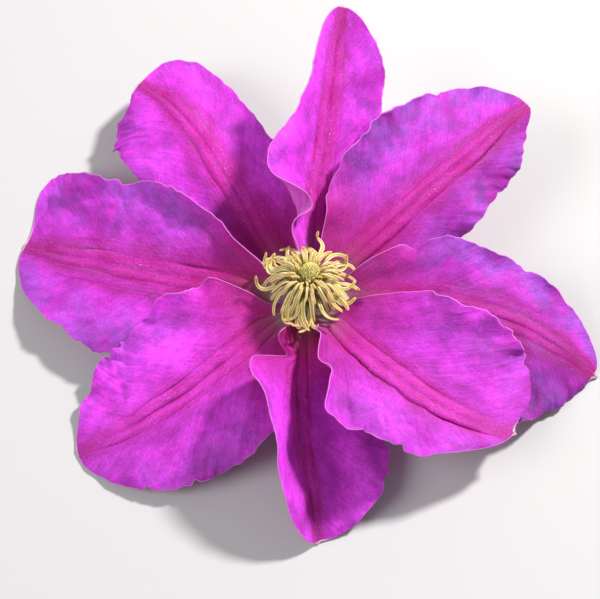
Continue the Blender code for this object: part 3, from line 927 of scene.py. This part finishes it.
STYLE_FOOT, STYLE_SHAFT, STYLE_TIP = (0.26, 0.30, 0.04, 1), (0.62, 0.58, 0.12, 1), (0.86, 0.78, 0.30, 1)
STALK_GREEN, STALK_PALE = (0.13, 0.20, 0.045, 1), (0.20, 0.26, 0.07, 1)
STALK_FLUSH, STALK_HAIR = (0.16, 0.07, 0.06, 1), (0.42, 0.46, 0.26, 1)
CUT_RING, PITH = (0.52, 0.56, 0.30, 1), (0.70, 0.68, 0.48, 1)
DOME_GREEN, DOME_PALE, DOME_DOWN = (0.18, 0.26, 0.06, 1), (0.32, 0.36, 0.12, 1), (0.50, 0.50, 0.26, 1)
FLOOR = (0.52, 0.515, 0.51, 1)

# How each tepal's face differs. The lightness of the whole face and of each of its halves is painted
# light and shade, lighter or darker as if lit or shaded; bar_width is in mm;
# crimson says how crimson, rather than hot pink, the bar is; grooves says how strong the painted
# highlight on the ridges and the painted shade in the grooves are, and the last trait how strong the
# painted shade towards the centre is; the rest say how strong each feature is.
TRAITS = ("violet", "bar", "bar_width", "crimson", "grooves", "flecks", "painted_light_level", "halves", "painted_throat_shade")
FACES = {
    "tepal_back": (0.45, 0.85, 4.6, 0.6, 0.6, 1.0, 1.06, (1.20, 1.06), 0.20),
    "tepal_back_right": (1.00, 0.75, 6.5, 0.7, 0.7, 0.8, 0.92, (0.98, 0.80), 0.80),
    "tepal_right": (1.50, 0.60, 8.0, 1.0, 0.6, 0.6, 0.86, (0.98, 0.70), 0.75),
    "tepal_front_right": (0.50, 0.65, 6.5, 0.3, 0.9, 0.6, 0.94, (1.02, 1.02), 0.65),
    "tepal_front": (0.25, 0.60, 5.0, 0.9, 0.6, 1.0, 1.08, (0.96, 1.08), 1.00),
    "tepal_front_left": (0.45, 0.50, 6.5, 0.1, 0.9, 0.6, 1.20, (0.88, 1.16), 0.88),
    "tepal_left": (0.85, 0.75, 9.0, 0.8, 0.7, 1.0, 1.10, (0.94, 0.94), 0.85),
    "tepal_back_left": (0.40, 0.80, 7.5, 0.6, 0.5, 0.9, 1.12, (1.00, 1.00), 0.88),
}


def vein_places(s, spread, run, reach):
    """Coordinates in which the first number tells one vein from the next."""
    root = s.math("SQRT", s.math("ADD", spread, VEIN_START))
    return s.combined(s.math("SUBTRACT", run, s.times(root, VEIN_BEND)), reach)


def tepal_upper(name):
    face = dict(zip(TRAITS, FACES[name]))
    s = Shading(name + "_upper")
    blade, reach, run, margin = s.attribute("blade")
    _, share, fraction, ribs = s.attribute("place")
    spread = s.size(reach)
    outward = s.size(fraction)
    fan = vein_places(s, spread, run, reach)
    flat = s.scaled(blade, 1, 1)
    squat = s.scaled(blade, 1, 0.7)

    violet = s.times(s.ramp(s.noise(flat, 0.075, 3), 0.36, 0.62),
                     s.ramp(outward, 0.05, 0.9, 0.25, 1.0), face["violet"])
    colour = s.mix(violet, MAGENTA, VIOLET)
    colour = s.mix(s.times(s.ramp(s.noise(flat, 0.16, 4), 0.50, 0.70), 0.5), colour, PINK)
    blotches = s.noise(squat, 0.45, 4, 0.6)
    # Painted light and shade: the blotches below are scaled by how light the whole face is painted
    painted_light_level = face["painted_light_level"]
    colour = s.shade(colour, s.ramp(blotches, 0.30, 0.70, 0.88 * painted_light_level, 1.14 * painted_light_level))
    colour = s.shade(colour, s.ramp(s.noise(squat, 0.11, 2, 0.5), 0.36, 0.64, 0.82, 1.20))
    # Painted shade on one half and painted light on the other
    colour = s.shade(colour, s.ramp(fraction, -0.35, 0.35, face["halves"][1], face["halves"][0]))
    streaks = s.noise(s.scaled(fan, 1.0, 0.08), 1.0, 4, 0.6)
    colour = s.shade(colour, s.ramp(streaks, 0.28, 0.72, 0.90, 1.10))

    # The bar along the middle: mottled, with dusky patches and crimson threads, with a painted
    # highlight on the ridges and painted shade in the grooves
    wobble = s.noise(s.scaled(blade, 0.30, 0.07), 1.0, 3)
    wobble = s.math("MULTIPLY", s.math("SUBTRACT", wobble, 0.5), 6.0)
    taper = s.times(s.ramp(share, 0.0, 0.35, 0.55, 1.0), s.ramp(share, 0.65, 1.0, 1.0, 0.45))
    bar_place = s.math("DIVIDE", s.math("ADD", spread, wobble), taper)
    bar = s.fade(bar_place, face["bar_width"] * 0.2, face["bar_width"] * 1.3)
    crimson = s.ramp(s.noise(s.scaled(blade, 0.45, 0.05), 1.0, 4), 0.35, 0.65,
                     face["crimson"] * 0.4, face["crimson"] * 1.1)
    bar_colour = s.mix(crimson, HOT_PINK, CRIMSON)
    mottle = s.ramp(s.noise(s.scaled(blade, 1, 0.45), 1.1, 4, 0.7), 0.38, 0.62, 0.55, 1.0)
    dusk = s.ramp(s.noise(s.scaled(blade, 0.35, 0.04), 1.0, 3), 0.46, 0.60, 0.0,
                  face["crimson"] * 0.6)
    bar_colour = s.mix(s.times(dusk, s.ramp(share, 0.30, 0.60)), bar_colour, DUSK)
    colour = s.mix(s.times(bar, face["bar"], mottle), colour, bar_colour)
    threads = s.fade(s.line(s.scaled(blade, 0.95, 0.025), 2, 0.4), 0.0, 0.030, 0.60)
    colour = s.mix(s.times(threads, s.ramp(bar, 0.15, 0.6)), colour, CRIMSON)
    # Painted highlight on the raised ridges, then painted shade in the sunk grooves
    ridges = s.times(s.ramp(ribs, 0.04, 0.16), mottle, face["grooves"], 0.42)
    colour = s.mix(ridges, colour, RIDGE_HIGHLIGHT)
    colour = s.mix(s.times(s.fade(ribs, -0.42, -0.06), face["grooves"]), colour, GROOVE_SHADE)
    tip_bar = s.times(s.ramp(share, 0.74, 0.97), s.fade(spread, 0.5, 4.0))
    colour = s.mix(s.times(tip_bar, 0.35), colour, BROWNISH)

    # Branching veins, painted shade of darker crimson towards the centre, and the pale claw by which
    # the tepal is held
    veins = s.fade(s.line(s.scaled(fan, 0.45, 0.03), 3, 0.5), 0.0, 0.018)
    colour = s.mix(s.times(veins, s.ramp(outward, 0.1, 0.9, 0.38, 0.10)), colour, CRIMSON)
    # Painted shade: darker crimson towards the centre of the flower
    colour = s.mix(s.fade(share, 0.08, 0.46, face["painted_throat_shade"]), colour, CRIMSON)
    claw = s.math("ADD", s.fade(share, 0.03, 0.12), s.fade(share, 0.03, 0.26, 0.35), True)
    colour = s.mix(s.times(claw, s.ramp(spread, 1.0, 5.0, 0.75, 0.10)), colour, PALE_CLAW)

    # Pale flecks in clusters near the bar, the fine grain, the light rim and the dry point
    cluster = s.ramp(s.noise(s.scaled(blade, 0.45, 0.16), 1.0, 2), 0.46, 0.60, 0.0, face["flecks"])
    flecks = s.ramp(s.noise(s.scaled(blade, 2.0, 0.7), 1.0, 5, 0.75), 0.58, 0.67, 0.0, 0.85)
    flecks = s.times(flecks, s.ramp(spread, 2.0, 7.0, 1.0, 0.08), s.ramp(share, 0.2, 0.4), cluster)
    colour = s.mix(flecks, colour, FLECK)
    grain = s.noise(flat, 1.6, 4, 0.7)
    colour = s.shade(colour, s.ramp(grain, 0.28, 0.72, 0.80, 1.20))
    colour = s.mix(s.fade(margin, 0.06, 0.30, 0.85), colour, RIM)
    colour = s.mix(s.times(s.ramp(share, 0.994, 0.998), 0.8), colour, DRY_POINT)

    fibres = s.noise(s.scaled(fan, 1.5, 0.10), 1.0, 3, 0.6)
    cells = s.noise(flat, 6.0, 3, 0.6)
    pleats = s.noise(s.scaled(fan, 0.8, 0.10), 1.0, 4, 0.6)
    normal = s.bumps((pleats, 0.22, 0.0006), (blotches, 0.35, 0.0006), (fibres, 0.10, 0.0003),
                     (grain, 0.40, 0.0003), (cells, 0.30, 0.0001))
    s.principled(colour, s.ramp(cells, 0.3, 0.7, 0.50, 0.66), normal, Sheen_Weight=0.03,
                 Sheen_Roughness=0.4, Sheen_Tint=SHEEN, Specular_IOR_Level=0.18)
    s.glow_through(s.mix(0.4, colour, BACKLIT), 0.32)
    return s.material


def tepal_under():
    s = Shading("tepal_under")
    blade, reach, run, margin = s.attribute("blade")
    _, share, _, ribs = s.attribute("place")
    spread = s.size(reach)
    fan = vein_places(s, spread, run, reach)
    streaks = s.noise(s.scaled(fan, 0.6, 0.06), 1.0, 5, 0.6)
    colour = s.mix(s.ramp(streaks, 0.3, 0.7), UNDER_PINK, UNDER_PALE)
    veins = s.fade(s.line(s.scaled(fan, 0.45, 0.03), 3, 0.5), 0.0, 0.03, 0.5)
    colour = s.mix(veins, colour, UNDER_VEIN)
    colour = s.mix(s.times(s.fade(spread, 2.0, 6.0), 0.7), colour, UNDER_BAR)
    colour = s.mix(s.times(s.fade(ribs, -0.36, -0.02), 0.8), colour, UNDER_RIB)
    claw = s.times(s.fade(share, 0.04, 0.26, 0.9), s.ramp(spread, 1.5, 5, 1.0, 0.05))
    colour = s.mix(claw, colour, UNDER_CLAW)
    grain = s.noise(s.scaled(blade, 1, 1), 1.6, 4, 0.7)
    colour = s.shade(colour, s.ramp(grain, 0.28, 0.72, 0.86, 1.14))
    colour = s.mix(s.fade(margin, 0.06, 0.35, 0.8), colour, RIM)
    fibres = s.noise(s.scaled(fan, 1.5, 0.10), 1.0, 3, 0.6)
    normal = s.bumps((streaks, 0.5, 0.0006), (fibres, 0.3, 0.0004), (grain, 0.4, 0.0003))
    s.principled(colour, 0.62, normal, Sheen_Weight=0.06, Specular_IOR_Level=0.2)
    s.glow_through(colour, 0.25)
    return s.material


def stamen_finish():
    s = Shading("stamen_finish")
    _, anther, edge, run = s.attribute("strand")
    place = s.object_coordinates()
    grain = s.noise(place, 2600.0, 3)
    filament = s.mix(s.ramp(run, 0.02, 0.30), FILAMENT_FOOT, FILAMENT)
    sac = s.mix(s.ramp(s.noise(place, 420.0, 2), 0.35, 0.65), POLLEN, PALE_POLLEN)
    sac = s.mix(s.ramp(run, 0.70, 0.95, 0.0, 0.85), sac, ANTHER_TIP)
    body = s.mix(s.ramp(edge, 0.05, 0.80), ANTHER_MIDDLE, sac)
    colour = s.mix(anther, filament, body)
    colour = s.shade(colour, s.ramp(grain, 0.3, 0.7, 0.85, 1.12))
    s.principled(colour, 0.6, s.bumps((grain, 0.4, 0.00012)), Specular_IOR_Level=0.3)
    s.glow_through(colour, 0.30)
    return s.material


def style_finish():
    s = Shading("style_finish")
    run = s.attribute("strand")[3]
    grain = s.noise(s.object_coordinates(), 3000.0, 3)
    shaft = s.mix(s.ramp(run, 0.1, 0.75), STYLE_FOOT, STYLE_SHAFT)
    colour = s.mix(s.ramp(run, 0.80, 0.95), shaft, STYLE_TIP)
    colour = s.shade(colour, s.ramp(grain, 0.3, 0.7, 0.8, 1.15))
    s.principled(colour, 0.55, s.bumps((grain, 0.4, 0.00012)), Specular_IOR_Level=0.3)
    s.glow_through(colour, 0.15)
    return s.material


def stalk_finish():
    s = Shading("stalk_finish")
    run = s.attribute("strand")[3]
    place = s.object_coordinates()
    hairs = s.noise(place, 5200.0, 2, 0.7)
    colour = s.mix(s.ramp(s.noise(place, 260.0, 4), 0.35, 0.65), STALK_GREEN, STALK_PALE)
    flush = s.times(s.ramp(s.noise(place, 120.0, 3), 0.48, 0.66), 0.6)
    colour = s.mix(flush, colour, STALK_FLUSH)
    colour = s.mix(s.ramp(hairs, 0.55, 0.75, 0.0, 0.5), colour, STALK_HAIR)
    # The end face, where run goes on past 1: a ring of green wood round the pith
    colour = s.mix(s.ramp(run, 1.03, 1.09), colour, CUT_RING)
    colour = s.mix(s.ramp(run, 1.13, 1.18), colour, PITH)
    s.principled(colour, s.ramp(hairs, 0.3, 0.7, 0.45, 0.65), s.bumps((hairs, 0.5, 0.0001)),
                 Specular_IOR_Level=0.3)
    return s.material


def receptacle_finish():
    s = Shading("receptacle_finish")
    place = s.object_coordinates()
    down = s.noise(place, 3500.0, 3)
    colour = s.mix(s.ramp(s.noise(place, 300.0, 4), 0.35, 0.65), DOME_GREEN, DOME_PALE)
    colour = s.mix(s.ramp(down, 0.5, 0.75, 0.0, 0.5), colour, DOME_DOWN)
    s.principled(colour, 0.6, s.bumps((down, 0.5, 0.00015)), Specular_IOR_Level=0.3)
    return s.material


def floor_finish():
    return Shading("floor_finish").principled(FLOOR, 0.85)


# ================================================================ stage
CAMERA_ELEVATION = 62.0
CAMERA_DISTANCE = 0.450
CAMERA_LENS = 97.2
CAMERA_ASIDE = -0.00194
FLOOR_SIZE = 3.0
SKY, SKY_STRENGTH = (0.92, 0.95, 1.0, 1), 0.33

# Round lamps: direction and elevation, distance and width in metres, watts and colour
LAMPS = {
    "key": (36, 43, 1.0, 0.12, 16.0, (1.0, 0.98, 0.97)),
    "fill": (200, 40, 1.2, 0.8, 9.0, (1.0, 0.98, 1.0)),
}


def build_camera():
    """A long lens that looks down on the flower from the front."""
    data = bpy.data.cameras.new("camera")
    data.lens = CAMERA_LENS
    data.sensor_width = 36.0
    data.clip_start, data.clip_end = 0.01, 20.0
    camera = added("camera", data)
    tilt = radians(CAMERA_ELEVATION)
    back = Vector((0, -cos(tilt), sin(tilt)))
    camera.location = CENTRE + back * CAMERA_DISTANCE + Vector((CAMERA_ASIDE, 0, 0))
    camera.rotation_euler = (pi / 2 - tilt, 0, 0)
    bpy.context.scene.camera = camera


def build_lamp(name, azimuth, elevation, distance, size, power, colour):
    data = bpy.data.lights.new(name, "AREA")
    data.shape = "DISK"
    data.size = size
    data.energy = power
    data.color = colour
    lamp = added(name, data)
    azimuth, elevation = radians(azimuth), radians(elevation)
    level = cos(elevation)
    away = Vector((level * cos(azimuth), level * sin(azimuth), sin(elevation)))
    lamp.location = CENTRE + away * distance
    lamp.rotation_euler = away.to_track_quat("Z", "Y").to_euler()


def build_stage():
    """The pale floor, the two lamps and the soft light from all round."""
    builder = bmesh.new()
    bmesh.ops.create_grid(builder, x_segments=1, y_segments=1, size=FLOOR_SIZE)
    mesh = bpy.data.meshes.new("floor")
    builder.to_mesh(mesh)
    builder.free()
    mesh.materials.append(floor_finish())
    floor = added("floor", mesh)
    for name, lamp in LAMPS.items():
        build_lamp(name, *lamp)
    world = bpy.data.worlds.new("studio")
    world.use_nodes = True
    background = world.node_tree.nodes["Background"]
    background.inputs["Color"].default_value = SKY
    background.inputs["Strength"].default_value = SKY_STRENGTH
    bpy.context.scene.world = world
    bpy.context.scene.view_settings.view_transform = "Standard"


# ================================================================ assembly
def main():
    build_camera()
    build_stage()
    under = tepal_under()
    lower_trees = []
    for seed, (name, layer) in enumerate(layered_tepals().items()):
        build_tepal(name, layer, [tepal_upper(name), under], seed, lower_trees)
    build_stamens([stamen_finish()])
    build_styles([style_finish()])
    build_receptacle([receptacle_finish()])
    build_stalk([stalk_finish()])


main()
